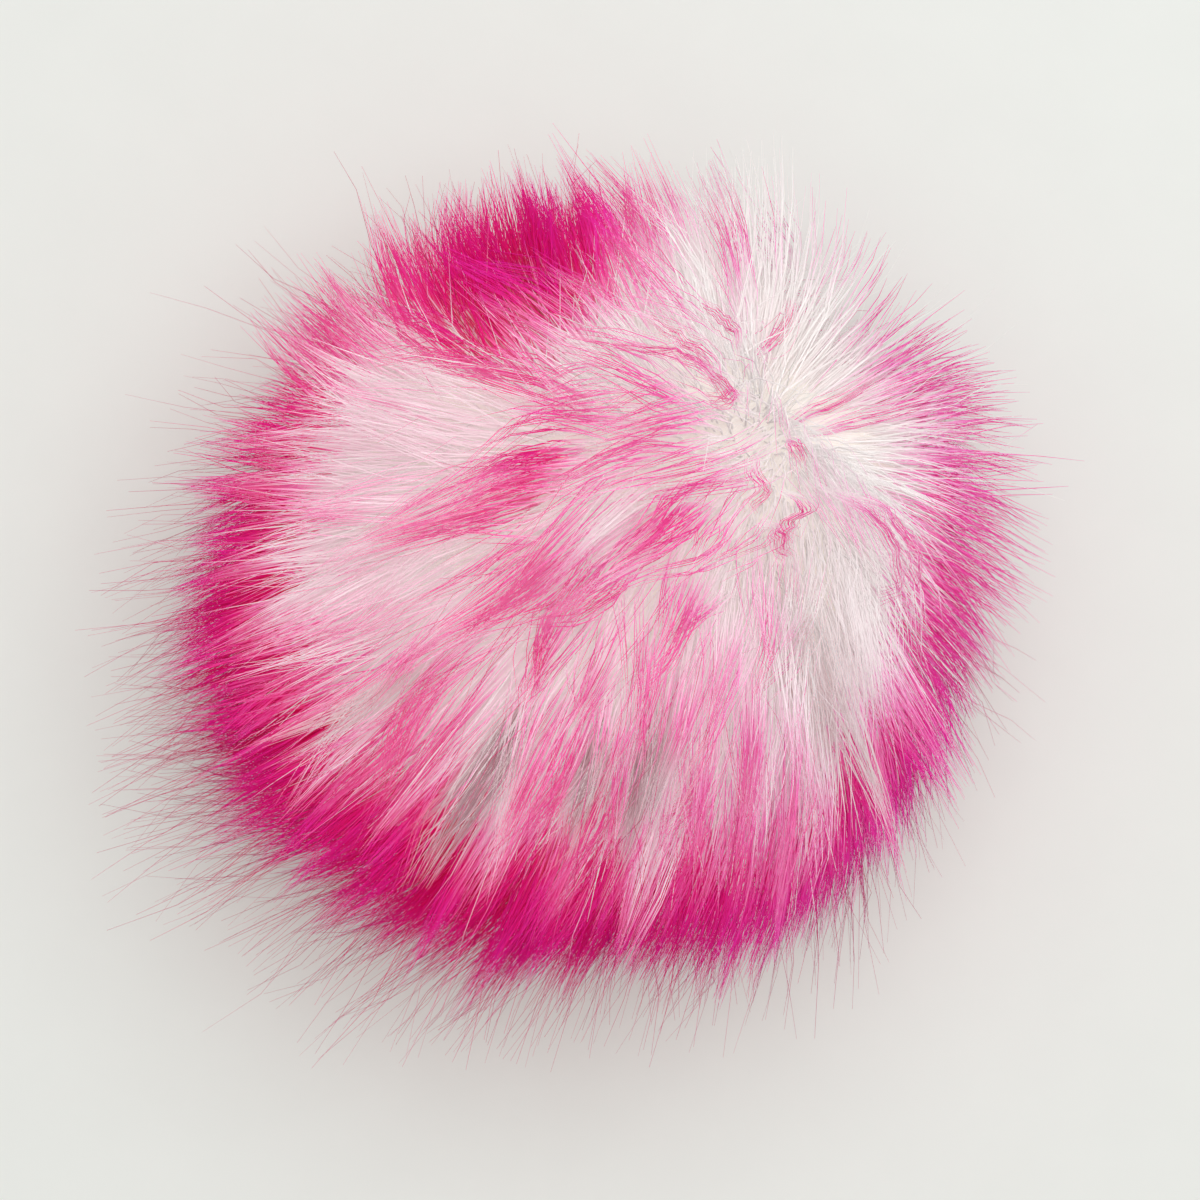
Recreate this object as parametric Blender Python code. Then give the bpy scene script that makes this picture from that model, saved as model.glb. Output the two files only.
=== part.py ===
"""A faux fur pom pom: one disc of long-pile fur cloth, gathered into a ball and resting on a table.

The whole ball is one solid. The dense pile is a lumpy core with a small flat spot underneath. The long
pile is a coat of tapered three-sided locks, each one drawn out of its own cell of the core, so that the
locks are joined at their roots and stand apart above them. They part at a crown and are combed away
from it. Under the ball the locks are shorter and splay out, level on the table.
Sizes are in metres. +Z is up and the origin is the middle of the ball's footprint, on the table.
"""

import math

import bmesh
import bpy
import numpy as np
from mathutils import Vector

# Driving dimensions of the dense pile
CORE_HALF_SIZE = Vector((0.0562, 0.0492, 0.0540))
CORE_HEIGHT = 0.0492
CELL_SUBDIVISIONS = 3
CELL_JITTER = 0.022
TUFT_SWELL = 0.0016
CROWN_DIP = 0.0060
PARTING_DIP = 0.0045

# Where the pile parts: the crown leans towards the back right, and a parting runs down from it
CROWN_TILT = math.radians(51)
CROWN_TURN = math.radians(43)
CROWN_SPREAD = math.radians(20)
PARTING_TURN = math.radians(-22)
PARTING_TILT = math.radians(58)
PARTING_SPREAD = math.radians(13)

# Driving dimensions of the long pile
PILE_LENGTH = 0.0378
LOCK_STATIONS = 6
LENGTH_SPREAD = 0.10
LIE_SPREAD = math.radians(6)
LONGEST_TURN = math.radians(215)
LONGEST_EXTRA = 0.08
CROWN_LENGTH = 0.82
SEED = 11

# How the pile lies: the bend of a lock from root to tip, near the crown and away from it
BEND_AT_CROWN = math.radians(26)
BEND_COMBED = math.radians(70)
BEND_UNDER = math.radians(30)
COMB = Vector((-0.05, -0.50, 0.0))
SAG = 0.0045
TABLE_BLEND = 0.0040
FOOT_LENGTH = 0.60
LEAST_ROOT_HEIGHT = 0.0015

WHITE_PILE = (0.94, 0.90, 0.88, 1.0)
PINK_TIPS = (0.86, 0.09, 0.36, 1.0)
PINK_FROM = 0.45


def direction(tilt, turn):
    """The unit vector that leans by tilt from straight up, towards the heading turn."""
    return Vector((math.sin(tilt) * math.cos(turn), math.sin(tilt) * math.sin(turn), math.cos(tilt)))


CROWN = direction(CROWN_TILT, CROWN_TURN)
PARTING = direction(PARTING_TILT, PARTING_TURN)
CORE_CENTRE = Vector((0, 0, CORE_HEIGHT))


def smooth_step(value, low, high):
    """0 at low, 1 at high, easing in and out between them."""
    share = min(max((value - low) / (high - low), 0.0), 1.0)
    return share * share * (3 - 2 * share)


def nearest_parting(out):
    """The direction on the line of the parting, from the crown to its lower end, that is nearest to out."""
    along = PARTING - CROWN
    share = min(max((out - CROWN).dot(along) / along.length_squared, 0.0), 1.0)
    return (CROWN + along * share).normalized()


def core_point(out):
    """The point of the dense pile's surface in the direction out from its centre."""
    tufts = math.sin(7 * out.x + 1.0) * math.sin(6 * out.y - 0.5) + math.sin(8 * out.z + 4 * out.x)
    crown = 1 - smooth_step(out.angle(CROWN), 0.0, CROWN_SPREAD)
    parting = 1 - smooth_step(out.angle(nearest_parting(out)), 0.0, PARTING_SPREAD)
    rise = TUFT_SWELL * tufts / 2 - CROWN_DIP * crown - PARTING_DIP * parting
    half = CORE_HALF_SIZE
    reach = 1 / Vector((out.x / half.x, out.y / half.y, out.z / half.z)).length
    point = CORE_CENTRE + out * (reach + rise)
    point.z = max(point.z, 0.0)
    return point


def combed(out):
    """The way the pile lies at a site: away from the crown and the parting, and outward under the ball."""
    parting = nearest_parting(out)
    away = (out * CROWN.dot(out) - CROWN).normalized() + (out * parting.dot(out) - parting).normalized()
    lie = away / 2 + COMB * smooth_step(0.55 - out.y, 0.0, 0.9) * smooth_step(out.angle(CROWN), 0.2, 1.0)
    outward = Vector((out.x, out.y, 0)).normalized()
    lie = lie.lerp(outward, smooth_step(-out.z, 0.3, 0.8))
    return (lie - out * lie.dot(out)).normalized()


def on_table(height, clearance):
    """A height kept at or above clearance, easing onto it so that the lock's underside lies level."""
    drop = height - clearance
    if drop >= TABLE_BLEND:
        return height
    if drop <= -TABLE_BLEND:
        return clearance
    return clearance + (drop + TABLE_BLEND) ** 2 / (4 * TABLE_BLEND)


def lock_width(share):
    """A lock's width at that share of its length, as a share of its width at the root."""
    return (1 - share) ** 0.85


def lock_line(root, out, grown, lie_turn):
    """The middle line of a lock as (share of its length, point), from its root to its tip."""
    lie = combed(out)
    lie = lie * math.cos(lie_turn) + out.cross(lie) * math.sin(lie_turn)
    from_crown = smooth_step(out.angle(nearest_parting(out)), math.radians(5), math.radians(55))
    under = smooth_step(-out.z, 0.15, 0.85)
    bend = BEND_AT_CROWN + (BEND_COMBED - BEND_AT_CROWN) * from_crown
    bend += (BEND_UNDER - bend) * smooth_step(-out.z, 0.05, 0.45)
    heading = math.atan2(out.y, out.x)
    side = 1 + LONGEST_EXTRA * math.cos(heading - LONGEST_TURN) * Vector((out.x, out.y)).length
    length = PILE_LENGTH * grown * side * (1 - (1 - FOOT_LENGTH) * under)
    length *= CROWN_LENGTH + (1 - CROWN_LENGTH) * from_crown
    line = []
    for station in range(LOCK_STATIONS + 1):
        share = station / LOCK_STATIONS
        turned = bend * share
        rise = length * math.sin(turned) / bend
        run = length * (1 - math.cos(turned)) / bend
        point = root + out * rise + lie * run
        point.z -= SAG * share * share
        line.append((share, point))
    return line


def draw_lock(mesh, face, grown, lie_turn):
    """Draw one lock out of a cell of the core: rings along its line, smaller and smaller, and a tip."""
    lower = list(face.verts)
    root = face.calc_center_median()
    spokes = [corner.co - root for corner in lower]
    out = (root - CORE_CENTRE).normalized()
    line = lock_line(root, out, grown, lie_turn)
    mesh.faces.remove(face)
    for before, (share, point), after in zip(line, line[1:], line[2:]):
        lean = out.rotation_difference(after[1] - before[1])
        offsets = [(lean @ spoke) * lock_width(share) for spoke in spokes]
        point.z = on_table(point.z, -min(offset.z for offset in offsets))
        ring = []
        for offset in offsets:
            corner = point + offset
            corner.z = max(corner.z, 0.0)
            ring.append(mesh.verts.new(corner))
        for side in range(len(ring)):
            following = (side + 1) % len(ring)
            wall = mesh.faces.new((lower[side], lower[following], ring[following], ring[side]))
            wall.material_index = int(share > PINK_FROM)
        lower = ring
    end = line[-1][1]
    tip = mesh.verts.new((end.x, end.y, on_table(end.z, 0.0)))
    for side in range(len(lower)):
        mesh.faces.new((lower[side], lower[(side + 1) % len(lower)], tip)).material_index = 1


def build_ball():
    """The dense core in one piece with every lock. The cells on the table and just over it stay bare."""
    chance = np.random.default_rng(SEED)
    mesh = bmesh.new()
    bmesh.ops.create_icosphere(mesh, subdivisions=CELL_SUBDIVISIONS, radius=1)
    for vertex in mesh.verts:
        out = (vertex.co + Vector(chance.normal(0, CELL_JITTER, 3))).normalized()
        vertex.co = core_point(out)
    for face in list(mesh.faces):
        grown = 1 + chance.uniform(-1, 1) * LENGTH_SPREAD
        lie_turn = chance.uniform(-1, 1) * LIE_SPREAD
        if min(corner.co.z for corner in face.verts) > LEAST_ROOT_HEIGHT:
            draw_lock(mesh, face, grown, lie_turn)
    bmesh.ops.recalc_face_normals(mesh, faces=mesh.faces)
    return mesh


def pile_material(name, colour):
    """A soft matt finish for the pile."""
    material = bpy.data.materials.new(name)
    material.use_nodes = True
    shader = material.node_tree.nodes["Principled BSDF"]
    shader.inputs["Base Color"].default_value = colour
    shader.inputs["Roughness"].default_value = 0.62
    shader.inputs["Metallic"].default_value = 0.0
    material.diffuse_color = colour
    return material


def build():
    """The pom pom, set down with the middle of its footprint at the origin."""
    for obj in list(bpy.data.objects):
        bpy.data.objects.remove(obj)
    built = build_ball()
    for axis in (0, 1):
        reach = [vertex.co[axis] for vertex in built.verts]
        middle = (min(reach) + max(reach)) / 2
        for vertex in built.verts:
            vertex.co[axis] -= middle
    mesh = bpy.data.meshes.new("fur_ball")
    built.to_mesh(mesh)
    built.free()
    mesh.materials.append(pile_material("white_pile", WHITE_PILE))
    mesh.materials.append(pile_material("pink_tips", PINK_TIPS))
    mesh.shade_smooth()
    pom_pom = bpy.data.objects.new("fur_ball", mesh)
    bpy.context.scene.collection.objects.link(pom_pom)


build()
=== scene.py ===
"""The looks of a faux fur pom pom: the dense roots, the long dyed pile and the stray wisps.

The pile is grown in tufts. Each tuft follows a guide line that leaves the ball, leans away from the crown
and draws its fibres together towards its tip. The fibres are white at the root and dyed pink at the tip.
Sizes are in metres. +Z is up, and the ball stands on the floor at the origin.
"""

import logging
import math
from dataclasses import dataclass, field, fields
from enum import Enum

import bmesh
import bpy
import numpy as np
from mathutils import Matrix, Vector


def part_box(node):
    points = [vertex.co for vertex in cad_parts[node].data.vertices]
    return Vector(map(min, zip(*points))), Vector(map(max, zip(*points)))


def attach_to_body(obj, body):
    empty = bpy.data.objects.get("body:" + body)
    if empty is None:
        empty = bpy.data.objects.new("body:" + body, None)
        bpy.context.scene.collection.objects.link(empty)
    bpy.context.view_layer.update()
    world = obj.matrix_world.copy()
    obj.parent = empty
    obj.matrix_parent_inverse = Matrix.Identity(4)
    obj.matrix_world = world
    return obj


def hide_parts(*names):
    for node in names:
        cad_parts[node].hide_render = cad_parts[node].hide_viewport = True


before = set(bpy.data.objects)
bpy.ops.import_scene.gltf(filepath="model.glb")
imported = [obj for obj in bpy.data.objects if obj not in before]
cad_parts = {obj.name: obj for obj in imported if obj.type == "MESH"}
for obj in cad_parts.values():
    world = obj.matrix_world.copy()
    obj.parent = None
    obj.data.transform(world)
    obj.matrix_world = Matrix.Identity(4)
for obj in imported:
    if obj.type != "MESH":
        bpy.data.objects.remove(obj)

log = logging.getLogger("pom_pom")

NODE = "fur_ball"
BODY = "root"

Colour = tuple[float, float, float]
Range = tuple[float, float]
Array = np.ndarray


def shade(red: int, green: int, blue: int) -> Colour:
    """A colour given in display steps of 0 to 255, as the linear colour that a shader takes."""
    steps = (red, green, blue)
    return tuple(((step / 255 + 0.055) / 1.055) ** 2.4 if step > 10 else step / 3295 for step in steps)


def unit(vectors: Array) -> Array:
    """Each vector made one long."""
    return vectors / np.maximum(np.linalg.norm(vectors, axis=-1, keepdims=True), 1e-12)


def dot(first: Array, second: Array) -> Array:
    """The dot product of each pair of vectors, kept as a last axis of one."""
    return np.sum(first * second, axis=-1, keepdims=True)


def ease(value: Array, low: float, high: float) -> Array:
    """0 at low, 1 at high, easing in and out between them."""
    share = np.clip((value - low) / (high - low), 0.0, 1.0)
    return share * share * (3 - 2 * share)


def heading(tilt: float, turn: float) -> Array:
    """The direction that leans by tilt degrees from straight up, towards turn degrees round from +X."""
    lean, swing = math.radians(tilt), math.radians(turn)
    return np.array((math.sin(lean) * math.cos(swing), math.sin(lean) * math.sin(swing), math.cos(lean)))


def angle_between(first: Array, second: Array) -> Array:
    """The angle between unit vectors, in radians, kept as a last axis of one."""
    return np.arccos(np.clip(dot(first, second), -1.0, 1.0))


def within(out: Array, middle: Array, inner: float, outer: float) -> Array:
    """1 where a direction is less than inner radians away from the middle, easing to 0 at outer radians."""
    return 1 - ease(angle_between(out, middle), inner, outer)


def nearest_between(out: Array, first: Array, last: Array) -> Array:
    """The direction on a line over the ball that is nearest to each direction.

    Args:
        out: the directions to start from.
        first: the direction of one end of the line.
        last: the direction of its other end.

    Returns:
        A direction on the line for each of those in out.
    """
    along = last - first
    share = np.clip((out - first) @ along / (along @ along), 0.0, 1.0)[..., None]
    return unit(first + along * share)


def store(mesh: bpy.types.Mesh, label: str, values: Array, kind: str = "FLOAT") -> None:
    """Keep a number, or a vector where the kind is FLOAT_VECTOR, at every point of a mesh."""
    part = "vector" if kind == "FLOAT_VECTOR" else "value"
    mesh.attributes.new(label, kind, "POINT").data.foreach_set(part, values.astype(np.float32).ravel())


def placed(name: str, data: bpy.types.ID) -> bpy.types.Object:
    """Make an object at the origin and link it to the scene.

    Args:
        name: the object's name.
        data: the mesh, light or camera that it holds.

    Returns:
        The object.
    """
    made = bpy.data.objects.new(name, data)
    bpy.context.scene.collection.objects.link(made)
    return made


def made_mesh(name: str, built: bmesh.types.BMesh) -> bpy.types.Mesh:
    """Turn a mesh that is being built into a finished one.

    Args:
        name: the mesh's name.
        built: the mesh that is being built, which is used up.

    Returns:
        The mesh.
    """
    mesh = bpy.data.meshes.new(name)
    built.to_mesh(mesh)
    built.free()
    return mesh


class Recipe:
    """A node tree that is written down one node at a time."""

    def __init__(self, tree: bpy.types.NodeTree) -> None:
        """Args:
            tree: the node tree to write into.
        """
        self.tree = tree

    def node(self, kind: str, settings: dict | None = None, sockets: dict | None = None) -> bpy.types.Node:
        """Add a node.

        Args:
            kind: the node's type.
            settings: the node's own settings, which are set first. "stops" fills a colour ramp.
            sockets: the values or links of its inputs, by name or by place.

        Returns:
            The new node.
        """
        made = self.tree.nodes.new(kind)
        for name, setting in (settings or {}).items():
            if name == "stops":
                self._fill_ramp(made.color_ramp, setting)
            else:
                setattr(made, name, setting)
        for name, value in (sockets or {}).items():
            self.feed(made.inputs[name], value)
        return made

    def feed(self, socket: bpy.types.NodeSocket, value: object) -> None:
        """Give an input its value, or link it.

        Args:
            socket: the input.
            value: a plain value, or the output or Signal to link to.
        """
        if isinstance(value, Signal):
            value = value.socket
        if isinstance(value, bpy.types.NodeSocket):
            self.tree.links.new(value, socket)
        else:
            socket.default_value = value

    def signal(self, kind: str, output: str | int = 0, settings: dict | None = None,
               sockets: dict | None = None) -> "Signal":
        """Add a node and return one of its outputs as a number to calculate with."""
        return Signal(self, self.node(kind, settings, sockets).outputs[output])

    def carried(self, label: str) -> "Signal":
        """The number that a piece's points carry under a label."""
        return self.signal("ShaderNodeAttribute", "Fac", {"attribute_name": label})

    def times(self, colour: bpy.types.NodeSocket, factor: "Signal | Colour") -> bpy.types.NodeSocket:
        """Multiply a colour.

        Args:
            colour: the output that gives the colour.
            factor: a tint, for each channel by itself, or a number that varies.

        Returns:
            The output that gives the new colour.
        """
        tinted = isinstance(factor, tuple)
        operation, by = ("MULTIPLY", 1) if tinted else ("SCALE", "Scale")
        return self.node("ShaderNodeVectorMath", {"operation": operation}, {0: colour, by: factor}).outputs[0]

    def mix(self, share: "Signal | float", first: object, second: object) -> bpy.types.NodeSocket:
        """Mix two colours.

        Args:
            share: 0 for only the first, 1 for only the second.
            first: a colour or the output that gives it.
            second: the same for the other colour.

        Returns:
            The output that gives the mixed colour.
        """
        mixed = self.node("ShaderNodeMix", {"data_type": "RGBA"})
        self.feed(mixed.inputs[0], share)
        self.feed(mixed.inputs[6], first)
        self.feed(mixed.inputs[7], second)
        return mixed.outputs[2]

    @staticmethod
    def _fill_ramp(ramp: bpy.types.ColorRamp, stops: list[tuple[float, Colour]]) -> None:
        """Put the stops on a colour ramp.

        Args:
            ramp: the ramp to fill.
            stops: the place and the colour of each stop, in order.
        """
        while len(ramp.elements) < len(stops):
            ramp.elements.new(1.0)
        for element, (place, colour) in zip(ramp.elements, stops):
            element.position = place
            element.color = (*colour, 1.0)


class Signal:
    """A number carried by a shader socket. Arithmetic on it adds Math nodes."""

    def __init__(self, recipe: Recipe, socket: bpy.types.NodeSocket) -> None:
        """Args:
            recipe: where the Math nodes go.
            socket: the output that carries the number.
        """
        self.recipe = recipe
        self.socket = socket

    def _math(self, operation: str, first: object, second: object) -> "Signal":
        """The result of a Math node on two numbers or signals."""
        return self.recipe.signal("ShaderNodeMath", 0, {"operation": operation}, {0: first, 1: second})

    def __add__(self, other: "Signal | float") -> "Signal":
        """Self plus other."""
        return self._math("ADD", self, other)

    def __sub__(self, other: "Signal | float") -> "Signal":
        """Self less other."""
        return self._math("SUBTRACT", self, other)

    def __rsub__(self, other: "Signal | float") -> "Signal":
        """Other less self."""
        return self._math("SUBTRACT", other, self)

    def __mul__(self, other: "Signal | float") -> "Signal":
        """Self times other."""
        return self._math("MULTIPLY", self, other)

    __radd__ = __add__
    __rmul__ = __mul__


class Finish:
    """A material that is being made: its nodes' recipe and its shader."""

    def __init__(self, name: str, colour: Colour, constants: dict[str, object]) -> None:
        """Args:
            name: the material's name.
            colour: its colour in a plain view.
            constants: the values of the shader's sockets that are the same all over.
        """
        self.material = bpy.data.materials.new(name)
        self.material.use_nodes = True
        self.material.diffuse_color = (*colour, 1.0)
        self.recipe = Recipe(self.material.node_tree)
        self.shader = self.material.node_tree.nodes["Principled BSDF"]
        for socket, value in constants.items():
            self.shader.inputs[socket].default_value = value

    def dress(self, varying: dict[str, object]) -> bpy.types.Material:
        """Link what varies over the surface.

        Args:
            varying: the output or Signal for each of the shader's sockets, by name.

        Returns:
            The finished material.
        """
        for socket, value in varying.items():
            self.recipe.feed(self.shader.inputs[socket], value)
        return self.material


@dataclass(frozen=True)
class FurFinish:
    """The dyed acrylic of the pile: white at the root, then pink, then deep pink at the tip."""

    name: str
    roughness: float = 0.6
    specular: float = 0.08
    streak_size: float = 900.0
    streak_detail: float = 2.0
    streak_amount: float = 0.14
    tone_range: float = 0.08
    dyed_tone_range: float = 0.22
    # Emission is painted light: it stands in for light scattered between the fibres, is tinted by glow_tint,
    # and dims to glow_at_floor between glow_heights as painted shade near the floor.
    glow: float = 0.33
    glow_at_floor: float = 0.3
    glow_heights: Range = (0.005, 0.060)
    through: float = 0.7
    through_reach: tuple[float, float, float] = (0.00100, 0.00120, 0.00114)
    # Dyed fibres on the +X side take a cooler tint: painted cool light from that side.
    cool_side: Range = (-0.03, 0.06)
    cool_tint: Colour = (0.92, 1.25, 1.45)
    glow_tint: Colour = (1.22, 1.00, 1.06)
    dye_places: tuple[float, ...] = (0.0, 0.22, 0.5, 0.78, 1.0)
    cream: Colour = shade(249, 246, 238)
    white: Colour = shade(251, 254, 247)
    blush: Colour = shade(255, 200, 220)
    pink: Colour = shade(255, 92, 172)
    deep: Colour = shade(244, 16, 110)
    # The deepest dye. Where the bottom and lower-left patches push the dye this far, it is partly dye and
    # partly painted shade on the side away from the light.
    wine: Colour = shade(208, 0, 62)
    # The colour of painted shade between locks, where the shaded pile below would show.
    painted_gap_shade: Colour = shade(178, 140, 147)

    def material(self) -> bpy.types.Material:
        """The finish as a material that reads the fibres' own dye, root, tone and shade, and glows with
        painted light.

        Returns:
            The material.
        """
        made = Finish(self.name, self.pink, {
            "Roughness": self.roughness, "Specular IOR Level": self.specular, "Emission Strength": self.glow,
            "Subsurface Weight": self.through, "Subsurface Radius": self.through_reach,
            "Subsurface Scale": 1.0})
        recipe = made.recipe
        place = recipe.node("ShaderNodeTexCoord").outputs["Object"]
        colour = self._colour(recipe, place)
        # Painted light: the emission takes the fibres' colour and is dimmer near the floor, as painted shade
        # under the ball.
        up = recipe.signal("ShaderNodeSeparateXYZ", "Z", None, {0: place})
        low, high = self.glow_heights
        open_to_sky = recipe.signal("ShaderNodeMapRange", 0, None, {
            "Value": up, "From Min": low, "From Max": high, "To Min": self.glow_at_floor, "To Max": 1.0})
        glow = recipe.times(recipe.times(colour, self.glow_tint), open_to_sky)
        return made.dress({"Base Color": colour, "Emission Color": glow})

    def _colour(self, recipe: Recipe, place: bpy.types.NodeSocket) -> bpy.types.NodeSocket:
        """The colour of the fibres, with painted cool light on the +X side and painted shade between locks.

        Args:
            recipe: where the nodes go.
            place: the output that gives the place on the ball.

        Returns:
            The output that gives the colour.
        """
        streak = recipe.signal("ShaderNodeTexNoise", "Fac", None,
                               {"Vector": place, "Scale": self.streak_size, "Detail": self.streak_detail})
        dye, root, tone, shaded = (recipe.carried(label) for label in ("dye", "root", "tone", "shaded"))
        amount = dye + (streak - 0.5) * self.streak_amount * (dye * (1.0 - dye) * 4.0)
        stops = list(zip(self.dye_places, (self.white, self.blush, self.pink, self.deep, self.wine)))
        dyed = recipe.node("ShaderNodeValToRGB", {"stops": stops}, {"Fac": amount}).outputs["Color"]
        # Painted light: the dye turns cooler towards +X, as under a cool light from that side.
        across = recipe.signal("ShaderNodeSeparateXYZ", "X", None, {0: place})
        warm, cold = self.cool_side
        cool = recipe.signal("ShaderNodeMapRange", 0, None,
                             {"Value": across, "From Min": warm, "From Max": cold})
        cool_lit_dyed = recipe.mix(cool * dye, dyed, recipe.times(dyed, self.cool_tint))
        creamed = recipe.mix(root, cool_lit_dyed, (*self.cream, 1.0))
        # Painted shade: fibres between locks are mixed towards that shaded colour.
        painted_gap_shade = recipe.mix(shaded, creamed, (*self.painted_gap_shade, 1.0))
        level = 1.0 - (1.0 - tone) * (dye * self.dyed_tone_range + self.tone_range)
        return recipe.times(painted_gap_shade, level)


@dataclass(frozen=True)
class RootFinish:
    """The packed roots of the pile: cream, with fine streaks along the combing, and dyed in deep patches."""

    name: str
    roughness: float = 0.7
    specular: float = 0.1
    # Emission is painted light, standing in for light scattered through the packed fibres.
    glow: float = 0.34
    streaks: float = 36.0
    streak_detail: float = 4.0
    ridge: float = 0.0006
    ridge_strength: float = 0.8
    light: Colour = shade(240, 234, 229)
    shadow: Colour = shade(220, 211, 203)
    dyed: Colour = shade(240, 60, 140)

    def material(self) -> bpy.types.Material:
        """The finish as a material that reads the roots' own dye and combing.

        Returns:
            The material.
        """
        made = Finish(self.name, self.light, {
            "Roughness": self.roughness, "Specular IOR Level": self.specular, "Emission Strength": self.glow})
        recipe = made.recipe
        combed = recipe.node("ShaderNodeAttribute", {"attribute_name": "combed"}).outputs["Vector"]
        streak = recipe.signal("ShaderNodeTexNoise", "Fac", None,
                               {"Vector": combed, "Scale": self.streaks, "Detail": self.streak_detail})
        # The streaks mix a light and a shadow colour: painted light and shade along the combing, over a bump
        # of the same streaks.
        undyed = recipe.mix(streak, (*self.shadow, 1.0), (*self.light, 1.0))
        colour = recipe.mix(recipe.carried("dye"), undyed, (*self.dyed, 1.0))
        relief = recipe.node("ShaderNodeBump", None, {
            "Strength": self.ridge_strength, "Distance": self.ridge, "Height": streak})
        return made.dress({
            "Base Color": colour, "Emission Color": colour, "Normal": relief.outputs["Normal"]})


@dataclass(frozen=True)
class Drift:
    """A smooth random field over the directions of the ball, from about -1 to 1."""

    seed: int
    pitch: float
    waves: int = 7
    pitch_range: Range = (0.6, 1.4)

    def __call__(self, out: Array) -> Array:
        """The field's value for each direction.

        Args:
            out: the directions.

        Returns:
            The values, kept as a last axis of one.
        """
        chance = np.random.default_rng(self.seed)
        total = np.zeros(out.shape[:-1] + (1,))
        for _ in range(self.waves):
            along = unit(chance.normal(size=3)) * self.pitch * chance.uniform(*self.pitch_range)
            total += np.sin(out @ along + chance.uniform(0, 2 * math.pi))[..., None]
        return total / math.sqrt(self.waves)


@dataclass(frozen=True)
class GapShade:
    """A line between locks, from one (tilt, turn) on the ball to another, where shade is painted on the
    fibres.
    """

    start: tuple[float, float]
    end: tuple[float, float]
    width: float = 4.0
    depth: float = 1.0
    flat: float = 0.4

    def at(self, out: Array) -> Array:
        """How strong the painted shade is at each direction.

        Args:
            out: the directions.

        Returns:
            The strength at each, from 0 away from the line.
        """
        edge = math.radians(self.width)
        middle = nearest_between(out, heading(*self.start), heading(*self.end))
        return self.depth * within(out, middle, edge * self.flat, edge)


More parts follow.
